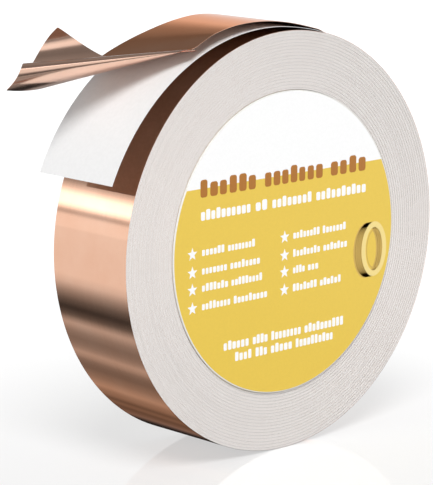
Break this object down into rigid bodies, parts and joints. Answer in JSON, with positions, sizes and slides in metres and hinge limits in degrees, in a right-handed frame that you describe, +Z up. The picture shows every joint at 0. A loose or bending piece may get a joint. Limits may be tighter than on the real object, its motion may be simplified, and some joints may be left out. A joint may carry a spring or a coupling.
{
  "type": "copper foil tape roll",
  "caption": "Roll of self-adhesive copper foil tape on a cardboard core, with a printed label disc, a lifted paper liner and a peeled foil end whose corner curls up.",
  "frame": {"origin": "In the middle of the core's bore, half way across the tape.", "axes": "+Y is the roll's axis and points out of the open back, so the label faces -Y; +Z is up; +X is right as seen from the label side."},
  "size_m": [0.1359, 0.031, 0.1233],
  "materials": {
    "kraft": "matt",
    "grey_board": "matt",
    "paper_tape": "matt",
    "wound_edge": "satin",
    "liner": "satin",
    "adhesive": "gloss",
    "copper": "polished",
    "label_card": "matt",
    "label_print": "satin"
  },
  "bodies": {
    "roll": {"core_inner_ply": "kraft", "core_board": "grey_board", "core_outer_ply": "kraft", "start_tape": "paper_tape", "inner_turns": "wound_edge", "outer_liner_turns": "liner", "outer_adhesive_turns": "adhesive", "outer_foil_turns": "copper", "label_card": "label_card", "label_print": "label_print"},
    "lifted_liner": {"liner_flap": "liner"},
    "liner_tip": {"liner_end": "liner"},
    "peeled_foil": {"foil_tail": "copper", "foil_tail_adhesive": "adhesive"},
    "curled_corner": {"foil_corner": "copper", "foil_corner_adhesive": "adhesive"}
  },
  "joints": [
    {"name": "liner_lift", "type": "hinge", "parent": "roll", "child": "lifted_liner", "pos_m": [0.01556, 0, 0.05807], "axis": [0, 1, 0], "range_deg": [-2.5, 60]},
    {"name": "liner_tip_bend", "type": "hinge", "parent": "lifted_liner", "child": "liner_tip", "pos_m": [-0.03212, 0, 0.05584], "axis": [0, 1, 0], "range_deg": [-3, 4]},
    {"name": "foil_peel", "type": "hinge", "parent": "lifted_liner", "child": "peeled_foil", "pos_m": [0.01565, 0, 0.05839], "axis": [0, 1, 0], "range_deg": [0, 90]},
    {"name": "corner_curl", "type": "hinge", "parent": "peeled_foil", "child": "curled_corner", "pos_m": [-0.02953, -0.00028, 0.05941], "axis": [-0.1217, 0.9854, -0.1194], "range_deg": [-3, 30]}
  ]
}
